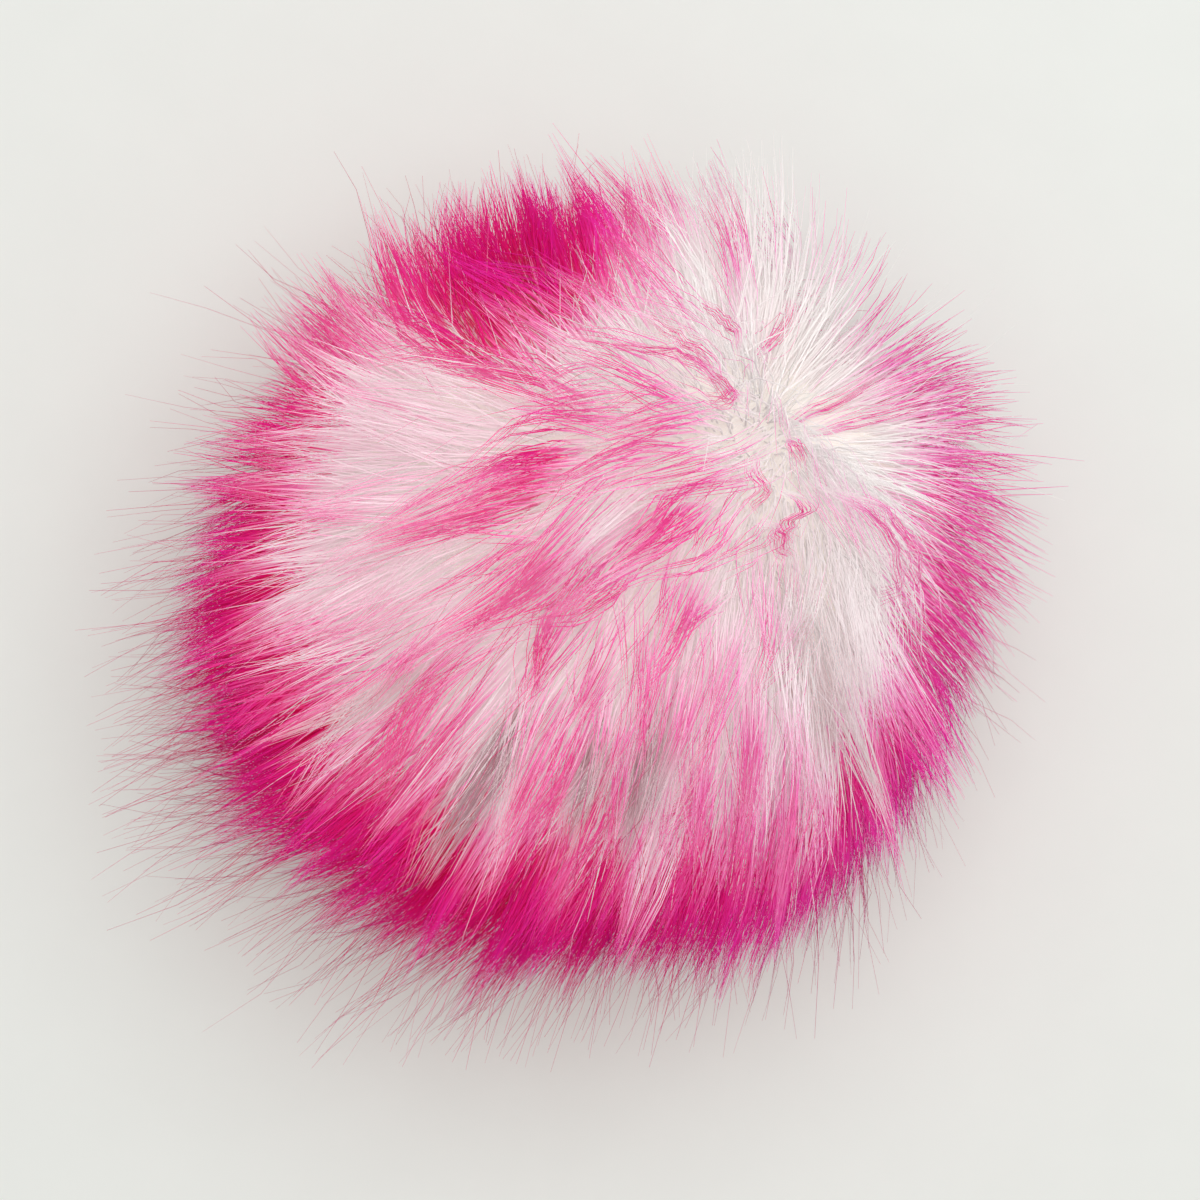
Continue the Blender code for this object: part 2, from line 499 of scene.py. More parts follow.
@dataclass
class Ball:
    """The ball that the pile grows from, and the way its pile lies.

    Pairs named _on give where a change starts and ends, in radians of distance or as a share of a direction.
    """

    low: Vector
    high: Vector

    # The dense roots
    root_share: tuple[float, float, float] = (0.592, 0.590, 0.765)
    centre_height: float = 0.365
    floor_gap: float = 0.0004
    crown: Array = field(default_factory=lambda: heading(59, 41))
    parting: Array = field(default_factory=lambda: heading(66, -27))
    whorl_on: Range = (0.05, 0.28)
    crown_spread: float = 20.0
    crown_dip: float = 0.0045
    parting_spread: float = 12.0
    parting_dip: float = 0.0060
    swell: float = 0.0014
    lumps: Drift = Drift(5, 9.0)

    # How long the pile is, by (turn, spread, change) round the sides, and on top, beneath and at the back
    sides: tuple[tuple[float, float, float], ...] = (
        (128, 64, -0.22), (180, 40, -0.04), (284, 34, -0.13), (218, 32, 0.06), (40, 36, 0.34),
        (86, 22, -0.13), (336, 36, 0.11))
    tail_turn: float = 225.0
    tail_least: float = -0.08
    tail_extra: float = 0.62
    side_flat: float = 0.2
    foot_length: float = 0.62
    foot_on: Range = (0.2, 0.85)
    top_extra: float = 0.22
    top_on: Range = (0.2, 0.6)
    top_off_crown_on: Range = (0.2, 0.7)
    thin: Array = field(default_factory=lambda: heading(94, 64))
    thin_spread: float = 44.0
    thin_flat: float = 0.45
    thin_shortening: float = 0.45
    thin_on: Range = (-0.05, 0.35)

    # Where the pile stands apart, and the lines between locks where shade is painted on the fibres
    divide_middle: Array = field(default_factory=lambda: heading(45, 101))
    divide_spread: float = 18.0
    divide_on: Range = (0.35, 1.0)
    gap_shades: tuple[GapShade, ...] = (GapShade((31, -119), (47, -121), 4.4, 1.0), GapShade((28, -94), (39, -98), 2.6, 1.0),
                             GapShade((28, -76), (41, -86), 3.2, 1.0), GapShade((33, -20), (49, -40), 5.0, 0.6),
                             GapShade((38, -150), (51, -150), 2.6, 0.35), GapShade((27, 10), (32, -18), 4.2, 0.22))

    # How the pile is combed: to the front, and to the back beyond the crown
    comb: tuple[float, float, float] = (0.32, -0.74, 0.0)
    comb_front: float = 0.55
    comb_front_blend: float = 0.9
    comb_off_crown_on: Range = (0.2, 1.0)
    comb_right_on: Range = (-0.64, 0.0)
    comb_left: float = 0.3
    comb_back: tuple[float, float, float] = (0.80, 0.40, -0.30)
    comb_back_on: Range = (0.15, 0.75)
    splay_on: Range = (0.3, 0.8)
    loose_on: Range = (0.34, 0.80)
    source_crown: float = 0.45
    source_parting: float = 0.55

    @property
    def half(self) -> Array:
        """Half of the solid's size along each axis."""
        return np.array(self.high - self.low) / 2

    @property
    def centre(self) -> Array:
        """The point that the pile stands out from."""
        middle = (np.array(self.low) + np.array(self.high)) / 2
        return np.array((middle[0], middle[1], self.low.z + self.centre_height * (self.high.z - self.low.z)))

    def nearest_parting(self, out: Array) -> Array:
        """The direction on the parting's line that is nearest to each direction."""
        return nearest_between(out, self.crown, self.parting)

    def surface(self, out: Array) -> Array:
        """The dense roots' surface, dipped at the crown and along the parting.

        Args:
            out: directions from the centre.

        Returns:
            The point of the surface in each direction.
        """
        axes = self.half * np.array(self.root_share)
        reach = 1 / np.linalg.norm(out / axes, axis=-1, keepdims=True)
        crown = within(out, self.crown, 0.0, math.radians(self.crown_spread))
        parting = within(out, self.nearest_parting(out), 0.0, math.radians(self.parting_spread))
        rise = self.lumps(out) * self.swell - self.crown_dip * crown - self.parting_dip * parting
        point = self.centre + out * (reach + rise)
        point[..., 2] = np.maximum(point[..., 2], self.low.z + self.floor_gap)
        return point

    def combing(self, out: Array) -> Array:
        """How the pile is combed: away from the crown and the parting, forward, and outward under the ball.

        Args:
            out: the directions of the roots.

        Returns:
            Vectors along the surface, short where the ways that the pile is combed cancel each other.
        """
        source = unit(self.crown * self.source_crown + self.nearest_parting(out) * self.source_parting)
        away = unit(out * dot(out, source) - source)
        forward = ease(self.comb_front - out[..., 1:2], 0.0, self.comb_front_blend)
        forward = forward * ease(angle_between(out, self.crown), *self.comb_off_crown_on)
        forward = forward * (self.comb_left + (1 - self.comb_left) * ease(out[..., 0:1], *self.comb_right_on))
        back = ease(out[..., 1:2], *self.comb_back_on)
        lie = away + np.array(self.comb) * forward + np.array(self.comb_back) * back
        outward = unit(out * np.array((1.0, 1.0, 0.0)))
        lie = lie + (outward - lie) * ease(-out[..., 2:3], *self.splay_on)
        return lie - out * dot(out, lie)

    def lie(self, out: Array) -> Array:
        """The way the pile lies, as a unit vector along the surface."""
        return unit(self.combing(out))

    def divide(self, out: Array) -> Array:
        """1 behind the crown, where the pile is combed apart and shows what is under it, and 0 elsewhere."""
        away = angle_between(out, self.divide_middle) / math.radians(self.divide_spread)
        return 1 - ease(away, *self.divide_on)

    def loose(self, out: Array) -> Array:
        """1 where the ways that the pile is combed cancel each other, and 0 where it lies one way."""
        return 1 - ease(np.linalg.norm(self.combing(out), axis=-1, keepdims=True), *self.loose_on)

    def whorl(self, out: Array) -> Array:
        """1 at the crown and along the parting, where the pile has no clear way to lie, and 0 elsewhere."""
        return within(out, self.nearest_parting(out), *self.whorl_on)

    def gap(self, points: Array) -> Array:
        """How much painted shade each point takes between locks, and 0 away from those lines."""
        out = unit(points - self.centre)
        return np.maximum.reduce([gap.at(out)[..., 0] for gap in self.gap_shades])

    def length(self, out: Array) -> Array:
        """How long the pile is: by its side of the ball, longer on top, shorter beneath and where it is thin.

        Args:
            out: the directions of the roots.

        Returns:
            The lengths, as shares of the usual one.
        """
        turn = np.arctan2(out[..., 1:2], out[..., 0:1])
        level = np.linalg.norm(out[..., :2], axis=-1, keepdims=True)
        side = np.ones_like(turn)
        for middle, spread, change in self.sides:
            edge = math.radians(spread)
            off = np.abs(np.angle(np.exp(1j * (turn - math.radians(middle)))))
            side = side + change * level * (1 - ease(off, self.side_flat * edge, edge))
        top = ease(out[..., 2:3], *self.top_on) * ease(angle_between(out, self.crown), *self.top_off_crown_on)
        side = side * (1 + self.top_extra * top)
        side = side * (1 - self.thin_shortening * self.thinness(out) * ease(-out[..., 2:3], *self.thin_on))
        return side * (1 - (1 - self.foot_length) * ease(-out[..., 2:3], *self.foot_on))

    def thinness(self, out: Array) -> Array:
        """1 where the fringe is thin, with few tall tufts over short white pile, and 0 elsewhere."""
        spread = math.radians(self.thin_spread)
        return within(out, self.thin, spread * self.thin_flat, spread)

    def tail(self, out: Array) -> Array:
        """How much longer the longest fibres are than the rest, as a share."""
        turn = np.arctan2(out[..., 1:2], out[..., 0:1]) - math.radians(self.tail_turn)
        return self.tail_least + self.tail_extra * (1 + np.cos(turn)) / 2


@dataclass(frozen=True)
class DyePatch:
    """A place on the ball, or a line from there to an end, where more or less of each fibre is dyed."""

    tilt: float
    turn: float
    spread: float
    shift: float
    end: tuple[float, float] | None = None

    def at(self, out: Array) -> Array:
        """The shift of the dye line.

        Args:
            out: the directions to give it for.

        Returns:
            The shift at each direction, from 0 away from the place.
        """
        place = heading(self.tilt, self.turn)
        if self.end:
            place = nearest_between(out, place, heading(*self.end))
        return self.shift * within(out, place, 0.0, math.radians(self.spread))


PATCHES: tuple[DyePatch, ...] = (
    DyePatch(57, 110, 24, 1.05),
    DyePatch(82, 130, 42, -0.42),
    DyePatch(84, 185, 44, 0.46),
    # These deep patches at the lower left and bottom are partly dye and partly painted shade on the side away
    # from the light.
    DyePatch(88, -150, 36, 0.44),
    DyePatch(80, -104, 50, 0.80),
    DyePatch(78, 8, 52, -0.27),
    DyePatch(88, 64, 50, -0.60),
    DyePatch(86, -48, 40, -0.16),
    DyePatch(42, 163, 31, -0.55),
    DyePatch(8, 122, 13, -0.36),
    DyePatch(18, 127, 11, 0.34),
    DyePatch(11, 38, 10, 0.20),
    # Deeper dye at the lower left: partly dye, partly painted shade there.
    DyePatch(60, -124, 18, 0.15),
    DyePatch(36, 84, 14, -0.16),
    DyePatch(46, 34, 30, -0.55),
    DyePatch(64, 34, 27, -0.42),
    DyePatch(84, 76, 24, -0.40),
    DyePatch(38, -18, 22, -0.45),
    DyePatch(40, -113, 4.5, -0.38, end=(60, -113)),
    DyePatch(44, -96, 4, -0.38, end=(60, -97)),
    DyePatch(46, -83, 4, -0.3, end=(64, -86)),
)


class Region(Enum):
    """A band of the ball, from the top down, given by the heights of the directions that it holds."""

    TOP = ("top", 0.64, 1.01)
    SHOULDER = ("shoulder", 0.29, 0.64)
    GIRTH = ("girth", -0.05, 0.29)
    FLANK = ("flank", -0.39, -0.05)
    FOOT = ("foot", -1.01, -0.39)

    def holds(self, out: Array) -> Array:
        """Whether each direction is in this band."""
        _, low, high = self.value
        return (out[..., 2] > low) & (out[..., 2] <= high)


@dataclass
class Fibres:
    """A bunch of fibres, each a line of points with a thickness and a dye at every point."""

    points: Array
    thickness: Array
    dye: Array
    root: Array
    tone: Array
    shaded: Array
    facing: Array

    def chosen(self, keep: Array) -> "Fibres":
        """Only the fibres that keep marks."""
        return Fibres(*(getattr(self, part.name)[keep] for part in fields(self)))


class FibreSweep:
    """The Geometry Nodes tree that turns lines into closed three-sided fibres."""

    SIDES = 3
    SOFTNESS = 0.9
    MARGIN = 0.14
    CAP = 0.09
    CAP_AT = 0.11
    CELL_ASPECT = 1.35

    def __init__(self) -> None:
        """Write the tree, with named inputs for the fibres' sides, their thickness and their finish."""
        self.tree = bpy.data.node_groups.new("fibre_sweep", "GeometryNodeTree")
        face = self.tree.interface
        face.new_socket("Geometry", in_out="INPUT", socket_type="NodeSocketGeometry")
        self.sides = face.new_socket("Sides", in_out="INPUT", socket_type="NodeSocketInt")
        self.scale = face.new_socket("Thickness scale", in_out="INPUT", socket_type="NodeSocketFloat")
        self.finish = face.new_socket("Finish", in_out="INPUT", socket_type="NodeSocketMaterial")
        face.new_socket("Geometry", in_out="OUTPUT", socket_type="NodeSocketGeometry")
        recipe = Recipe(self.tree)
        given = recipe.node("NodeGroupInput")
        line = recipe.node("GeometryNodeMeshToCurve", None, {"Mesh": given.outputs["Geometry"]})
        named = "GeometryNodeInputNamedAttribute"
        under = recipe.node(named, {"data_type": "FLOAT_VECTOR"}, {"Name": "under"})
        turned = recipe.node("GeometryNodeSetCurveNormal", {"mode": "FREE"},
                             {"Curve": line.outputs["Curve"], "Normal": under.outputs["Attribute"]})
        ring = recipe.node("GeometryNodeCurvePrimitiveCircle", None,
                           {"Resolution": given.outputs["Sides"], "Radius": 1.0})
        thickness = recipe.node(named, {"data_type": "FLOAT"}, {"Name": "thickness"})
        scaled = recipe.node("ShaderNodeMath", {"operation": "MULTIPLY"},
                             {0: thickness.outputs["Attribute"], 1: given.outputs["Thickness scale"]})
        swept = recipe.node("GeometryNodeCurveToMesh", None, {
            "Curve": turned.outputs["Curve"], "Profile Curve": ring.outputs["Curve"],
            "Scale": scaled.outputs[0], "Fill Caps": True})
        smooth = recipe.node("GeometryNodeSetShadeSmooth", None, {"Geometry": swept.outputs["Mesh"]})
        real = recipe.node("GeometryNodeRealizeInstances", None, {"Geometry": smooth.outputs[0]})
        dressed = recipe.node("GeometryNodeSetMaterial", None,
                              {"Geometry": real.outputs[0], "Material": given.outputs["Finish"]})
        recipe.node("NodeGroupOutput", None, {"Geometry": dressed.outputs[0]})

    def piece(self, name: str, fibres: Fibres, finish: bpy.types.Material) -> bpy.types.Object:
        """Sweep the fibres and return them as one plain mesh object.

        Args:
            name: the name of the piece.
            fibres: the lines to sweep.
            finish: the material of the fibres.

        Returns:
            The finished object, at the origin, with an unwrapped cell of its own for every fibre.
        """
        lines = self._lines(name, fibres)
        modifier = lines.modifiers.new("sweep", "NODES")
        modifier.node_group = self.tree
        modifier[self.sides.identifier] = self.SIDES
        modifier[self.scale.identifier] = 1.0
        modifier[self.finish.identifier] = finish
        graph = bpy.context.evaluated_depsgraph_get()
        mesh = bpy.data.meshes.new_from_object(lines.evaluated_get(graph))
        bpy.data.objects.remove(lines)
        mesh.name = name
        for label in ("thickness", "under"):
            mesh.attributes.remove(mesh.attributes[label])
        self._unwrap(mesh, *fibres.points.shape[:2])
        self._soften(mesh, fibres)
        return placed(name, mesh)

    def _lines(self, name: str, fibres: Fibres) -> bpy.types.Object:
        """Make the fibres' lines, which carry what is known of each point and the way that is inward there.

        Args:
            name: the name of the piece that they are for.
            fibres: the fibres.

        Returns:
            An object of loose edges.
        """
        count, stations = fibres.points.shape[:2]
        starts = np.arange(count * stations).reshape(count, stations)
        edges = np.stack((starts[:, :-1], starts[:, 1:]), axis=-1).reshape(-1, 2)
        mesh = bpy.data.meshes.new(name + "_lines")
        mesh.vertices.add(count * stations)
        mesh.edges.add(len(edges))
        mesh.vertices.foreach_set("co", fibres.points.astype(np.float32).ravel())
        mesh.edges.foreach_set("vertices", edges.astype(np.int32).ravel())
        for label in ("thickness", "dye", "root", "tone", "shaded"):
            store(mesh, label, np.broadcast_to(getattr(fibres, label), (count, stations)))
        along = unit(np.gradient(fibres.points, axis=1))
        store(mesh, "under", unit(along * dot(fibres.facing, along) - fibres.facing), "FLOAT_VECTOR")
        return placed(mesh.name, mesh)

    def _soften(self, mesh: bpy.types.Mesh, fibres: Fibres) -> None:
        """Turn the fibres' shading towards the way that the fur faces, as light passing between fibres does.

        Args:
            mesh: the swept fibres.
            fibres: the lines that they were swept along.
        """
        normals = np.empty(len(mesh.vertices) * 3, np.float32)
        mesh.vertex_normals.foreach_get("vector", normals)
        facing = np.repeat(fibres.facing.reshape(-1, 3), self.SIDES, axis=0)
        mixed = unit(normals.reshape(-1, 3) * (1 - self.SOFTNESS) + facing * self.SOFTNESS)
        mesh.normals_split_custom_set_from_vertices(mixed.tolist())

    def _unwrap(self, mesh: bpy.types.Mesh, count: int, stations: int) -> None:
        """Give every fibre a cell of its own in the map: across for its sides, and up for its length.

        Args:
            mesh: the swept fibres.
            count: how many fibres there are.
            stations: how many points each has along it.
        """
        ring = self.SIDES
        corners = np.empty(len(mesh.loops), np.int32)
        mesh.loops.foreach_get("vertex_index", corners)
        starts, sizes = np.empty((2, len(mesh.polygons)), np.int32)
        mesh.polygons.foreach_get("loop_start", starts)
        mesh.polygons.foreach_get("loop_total", sizes)
        side = (corners % ring).astype(float)
        station = (corners // ring % stations).astype(float)
        fibre = corners // (ring * stations)
        walls = starts[sizes == 4][:, None] + np.arange(4)
        wraps = (side[walls] == ring - 1).any(axis=1) & (side[walls] == 0).any(axis=1)
        around = side[walls]
        around[wraps[:, None] & (around == 0)] = ring
        side[walls] = around
        up = self.MARGIN + (1 - 2 * self.MARGIN) * station / (stations - 1)
        caps = starts[sizes == ring][:, None] + np.arange(ring)
        lift = np.where(station[caps] > 0, self.CAP, -self.CAP) * (side[caps] == 1)
        up[caps] = np.where(station[caps] > 0, 1 - self.CAP_AT, self.CAP_AT) + lift
        side[caps] *= ring / (ring - 1)
        across = self.MARGIN + (1 - 2 * self.MARGIN) * side / ring
        columns = 2 ** math.ceil(math.log2(math.sqrt(count) * self.CELL_ASPECT))
        rows = math.ceil(count / columns)
        layer = mesh.uv_layers.new(name="OFBake")
        place = np.stack(((fibre % columns + across) / columns, (fibre // columns + up) / rows), axis=-1)
        layer.uv.foreach_set("vector", place.astype(np.float32).ravel())


@dataclass
class Locks:
    """The locks that the tufts of the pile draw together in, with one row for each."""

    out: Array
    line: Array
    late: Array
    tall: Array
    # Which locks take painted shade where they lie between other locks.
    painted_gap_shade: Array


@dataclass
class Pile:
    """The long pile: tufts of fibres that leave the ball, lean over and draw together to a tip.

    Angles are in degrees. Pairs named _on give where a change starts and ends: in radians from the crown or
    the parting, by how steeply a direction points down, or by the place along a fibre.
    """

    ball: Ball

    # How many there are, and where they may be
    tufts: int = 2650
    tuft_jitter: float = 0.35
    tuft_spread: float = 0.36
    per_tuft: int = 12
    stations: int = 5
    locks: int = 760
    lock_jitter: float = 0.30
    foot_thinning: float = 0.45
    foot_thinning_on: Range = (0.3, 0.6)
    root_height: float = 0.0015
    room: float = 0.0065
    floor_blend: float = 0.004
    seed: int = 21

    # How they lean: a rise angle at the root and a rest angle at the tip
    rise_angle: float = 26.0
    rest_angle: float = 80.0
    far_rest_angle: float = 58.0
    far_on: Range = (0.8, 1.9)
    crown_rise_angle: float = 22.0
    crown_on: Range = (0.2, 0.5)
    parting_rise_angle: float = 44.0
    parting_on: Range = (0.15, 0.7)
    crown_rest_angle: float = 80.0
    under_rise_angle: float = 8.0
    under_rest_angle: float = 46.0
    under_on: Range = (0.05, 0.5)
    least_bend: float = 0.05
    angle_spread: float = 8.0
    tuft_lean: float = 0.8
    fibre_lean: float = 0.6
    whorl_swing: float = 0.12
    sway: Drift = Drift(8, 4.0)
    sway_angle: float = 0.22
    sag: float = 0.0040
    root_tilt: float = 0.5
    facing_turn: float = 0.8

    # How long they are
    length: float = 0.0350
    longest: float = 1.08
    uneven: float = 0.06
    guide_limits: Range = (-2, 1)
    stretch_limits: Range = (0.4, 1.4)
    tuft_uneven: float = 0.08
    lock_uneven: float = 0.16
    lock_point: float = 0.20
    rim_on: Range = (-0.45, 0.05)
    rim_cut: float = 0.02
    rim_uneven: float = 0.20
    tails: float = 0.22
    tall: float = 0.44
    tall_fibres: float = 0.75
    thin_cut: float = 0.58

    # How they draw together
    gather: float = 0.86
    gather_on: Range = (0.3, 1.0)
    gather_range: Range = (0.9, 1.1)
    most_gather: float = 0.96
    lock_gather: float = 0.92
    lock_gather_range: Range = (0.8, 1.12)
    outer_on: Range = (-0.80, -0.25)
    outer_lock_loosening: float = 0.65
    outer_loosening: float = 0.38
    crown_loosening: float = 0.5
    crown_loosening_on: Range = (0.1, 0.6)
    stray: float = 0.10
    stray_gather: float = 0.25
    lock_wave: float = 0.0016
    lock_waves: float = 0.9
    crimp: float = 0.0006
    crimp_waves: float = 0.8
    wave_growth: float = 1.4

    # How thick they are
    root_thickness: float = 0.00030
    belly_thickness: float = 0.00019
    belly_on: Range = (0.0, 0.3)
    tip_thickness: float = 0.00002
    taper: float = 1.3
    thickness_range: Range = (0.75, 1.2)

    # How they are dyed
    dye_from: float = 0.37
    dye_band: float = 0.42
    dye_level: float = 0.70
    dye_level_shift: float = 0.28
    dye_level_limits: Range = (0.4, 1.0)
    dye_uneven: float = 0.04
    rim_dye: float = 0.46
    rim_dye_on: Range = (-0.66, -0.30)
    lock_late: float = 0.15
    thin_late: float = 0.9
    # Painted shade between locks: the share of locks that take it, how much later their dye starts there, and
    # how much root cream it brings.
    painted_gap_shade: float = 0.85
    gap_shade_late: float = 0.3
    gap_shade_cream: float = 0.8
    gap_shade_cream_gain: float = 2.0
    blush: float = 0.13
    blush_off_crown_on: Range = (0.5, 1.3)
    blush_on: Range = (0.1, 0.5)
    cream: float = 0.35
    cream_whorl: float = 0.5
    cream_to: float = 0.45
    tone_parts: tuple[float, float] = (0.6, 0.4)
    patches: tuple[DyePatch, ...] = ()

    def sites(self, number: int, jitter: float, chance: np.random.Generator) -> Array:
        """Directions spread evenly over the ball, nudged off their pattern: fewer beneath, none on the floor.

        Args:
            number: how many there would be on the whole ball.
            jitter: how far each is nudged, as a share of the distance between them.
            chance: the source of random numbers.

        Returns:
            The directions.
        """
        index = np.arange(number) + 0.5
        height = 1 - 2 * index / number
        turn = index * math.pi * (3 - math.sqrt(5))
        flat = np.sqrt(1 - height * height)
        out = np.stack((flat * np.cos(turn), flat * np.sin(turn), height), axis=-1)
        out = unit(out + chance.normal(size=out.shape) * jitter * self.pitch(number))
        kept = chance.uniform(size=len(out)) > self.foot_thinning * ease(-out[:, 2], *self.foot_thinning_on)
        return out[kept & (self.ball.surface(out)[:, 2] > self.ball.low.z + self.root_height)]

    @staticmethod
    def pitch(number: int) -> float:
        """The distance between neighbours, as an angle, where that number is spread over the ball."""
        return math.sqrt(4 * math.pi / number)

    def line(self, out: Array, length: Array, tilt: Array, swing: Array) -> Array:
        """The lines that fibres would follow on their own.

        Args:
            out: the directions of the roots.
            length: each fibre's length.
            tilt: how much further than usual each leans over, in radians.
            swing: how far each lies to the side of the usual way, in radians.

        Returns:
            The points of each line, from root to tip.
        """
        share = np.linspace(0, 1, self.stations)[None, :, None]
        lie = self.ball.lie(out)
        lie = lie * np.cos(swing) + np.cross(out, lie) * np.sin(swing)
        whorl = within(out, self.ball.crown, *self.crown_on)
        crown = within(out, self.ball.nearest_parting(out), *self.parting_on)
        under = ease(-out[:, 2:3], *self.under_on)
        start = self.parting_rise_angle + (self.crown_rise_angle - self.parting_rise_angle) * whorl
        first = self._angle(self.rise_angle, start, self.under_rise_angle, crown, under)
        first = first + tilt * self.root_tilt
        far = ease(angle_between(out, self.ball.crown), *self.far_on)
        rest = self.rest_angle + (self.far_rest_angle - self.rest_angle) * far
        last = self._angle(rest, self.crown_rest_angle, self.under_rest_angle, crown, under) + tilt
        bend = np.maximum(last - first, self.least_bend)
        first, bend = first[:, None, :], bend[:, None, :]
        rise = (np.sin(first + bend * share) - np.sin(first)) / bend
        run = (np.cos(first) - np.cos(first + bend * share)) / bend
        root = self.ball.surface(out)[:, None, :]
        points = root + (out[:, None, :] * rise + lie[:, None, :] * run) * length[:, None, :]
        points[..., 2] -= self.sag * share[..., 0] ** 2
        return points

    @staticmethod
    def _angle(usual: float | Array, crown_angle: float | Array, under_angle: float, crown: Array,
               under: Array) -> Array:
        """An angle in radians, blended from its usual value to those at the crown and under the ball."""
        blended = usual + (crown_angle - usual) * crown
        return np.radians(blended + (under_angle - blended) * under)

    def settle(self, points: Array, clearance: Array) -> Array:
        """Keep the fibres in the room that the pile may take, and ease them onto the floor.

        Args:
            points: the fibres' points.
            clearance: the least height of each point over the floor.

        Returns:
            The points where they settle.
        """
        root = points[:, :1]
        reach = points - root
        far = np.where(reach > 0, np.array(self.ball.high) + self.room, np.array(self.ball.low) - self.room)
        share = (far - root) / np.where(np.abs(reach) < 1e-9, 1e-9, reach)
        points = root + reach * np.clip(np.where(share > 0, share, 1).min(axis=(1, 2)), 0, 1)[:, None, None]
        floor = self.ball.low.z + clearance
        drop, blend = points[..., 2] - floor, self.floor_blend
        eased = floor + (drop + blend) ** 2 / (4 * blend)
        points[..., 2] = np.where(drop >= blend, points[..., 2], np.where(drop <= -blend, floor, eased))
        return points

    def thickness(self, share: Array) -> Array:
        """A fibre's half thickness at that share of its length."""
        belly = (self.belly_thickness - self.root_thickness) * ease(share, *self.belly_on)
        full = self.root_thickness + belly - self.tip_thickness
        return self.tip_thickness + full * (1 - share ** self.taper)

    def dye_shift(self, points: Array) -> Array:
        """How far the dye reaches down the fibres: further round the rim and in the deep patches.

        Args:
            points: where to tell it.

        Returns:
            The shift of the dye line at each point, as a share of a fibre.
        """
        out = unit(points - self.ball.centre)
        shift = self.rim_dye * ease(-out[..., 2], *self.rim_dye_on)
        return sum((patch.at(out)[..., 0] for patch in self.patches), shift)

    def dyed(self, points: Array, share: Array, late: Array) -> Array:
        """How much dye is at each point: its share of the fibre, moved by the patches around it.

        Args:
            points: the fibres' points.
            share: the place of each along its fibre, from 0 at the root to 1 at the tip.
            late: how much later than usual the dye starts on each fibre.

        Returns:
            The dye, from 0 to 1.
        """
        shift = self.dye_shift(points)
        level = np.clip(self.dye_level + shift * self.dye_level_shift, *self.dye_level_limits)
        away = angle_between(unit(points - self.ball.centre), self.ball.crown)[..., 0]
        blush = self.blush * ease(away, *self.blush_off_crown_on) * ease(share, *self.blush_on)
        dye = ease(share + shift - late, self.dye_from, self.dye_from + self.dye_band) * level
        return np.maximum(dye, blush)

    def wave(self, share: Array, amount: float, parts: tuple[tuple[float, float], ...], count: int,
             chance: np.random.Generator) -> Array:
        """Sideways waves along fibres, from nothing at their roots.

        Args:
            share: the places along a fibre.
            amount: how far the waves reach.
            parts: the waves in a fibre's length and the share of the amount, for each part.
            count: how many fibres there are.
            chance: the source of random numbers.

        Returns:
            How far each point moves.
        """
        total = np.zeros((count, len(share), 3))
        for waves, part in parts:
            way = unit(chance.normal(size=(count, 1, 3)))
            phase = chance.uniform(0, 2 * math.pi, size=(count, 1, 1))
            sway = np.sin(share[None, :, None] * waves * 2 * math.pi + phase) - np.sin(phase)
            total += way * sway * (share ** self.wave_growth)[None, :, None] * amount * part
        return total

    def bunch(self, points: Array, thickness: Array, dye: Array, root: Array, tone: Array,
              shaded: Array | None = None) -> Fibres:
        """Put fibres together.

        Args:
            points: the fibres' points.
            thickness: their half thickness.
            dye: how much dye is at each point.
            root: how much of the roots' cream is at each point.
            tone: how light each fibre is.
            shaded: how much painted shade each point takes between locks, or None where there is none.

        Returns:
            The fibres, with the way that the fur faces at each point: out from the ball, across the fibre.
        """
        along = unit(np.gradient(points, axis=1))
        out = unit(points - self.ball.centre)
        facing = unit(out - along * dot(out, along) * self.facing_turn)
        shaded = np.zeros_like(tone) if shaded is None else shaded
        return Fibres(points, thickness, dye, root, tone, shaded, facing)

    def grow(self) -> tuple[Fibres, Array]:
        """Grow the pile.

        Returns:
            The fibres, and the direction of each fibre's tuft.
        """
        chance = np.random.default_rng(self.seed)
        share = np.linspace(0, 1, self.stations)
        locks = self._grow_locks(share, chance)
        tuft_out, tuft_line, outer, lock = self._grow_tufts(locks, share, chance)
        owner = np.repeat(np.arange(len(tuft_out)), self.per_tuft)
        count, lock = len(owner), lock[owner]
        offset = chance.normal(size=(count, 3)) * self.tuft_spread
        out = unit(tuft_out[owner] + offset * self.pitch(self.tufts))
        stretch, short = self._stretches(out, locks, lock, chance)
        length = self.length * self.ball.length(out) * np.clip(stretch, *self.stretch_limits)
        points = self._draw_together(out, length, tuft_line[owner], outer[owner], share, chance)
        points += self.wave(share, self.crimp, ((self.crimp_waves, 1.0),), count, chance)
        thickness = self.thickness(share)[None, :] * chance.uniform(*self.thickness_range, size=(count, 1))
        points = self.settle(points, thickness)
        late = locks.late[lock] + chance.normal(size=(count, 1)) * self.dye_uneven
        # Painted shade: the fibres of some locks are darkened, start their dye later and take root cream along
        # the lines between locks.
        shaded = self.ball.gap(points) * locks.painted_gap_shade[lock]
        late = late + short * self.thin_late + shaded * self.gap_shade_late
        dye = self.dyed(points, share[None, :], late)
        gap_shade_root = np.clip(shaded * self.gap_shade_cream_gain, 0, self.gap_shade_cream)
        root = np.maximum(self.creamed(out, share), gap_shade_root)
        own_tone, tuft_tone = self.tone_parts
        tone = chance.uniform(0, 1, size=(count, 1)) * own_tone
        tone = tone + chance.uniform(0, 1, size=(len(tuft_out), 1))[owner] * tuft_tone
        return self.bunch(points, thickness, dye, root, tone, shaded), tuft_out[owner]

    def creamed(self, out: Array, share: Array) -> Array:
        """How much of the roots' cream is along each fibre: most at the root, and at the crown."""
        most = self.cream + self.cream_whorl * self.ball.whorl(out)
        return most * (1 - ease(share, 0.0, self.cream_to))[None, :]

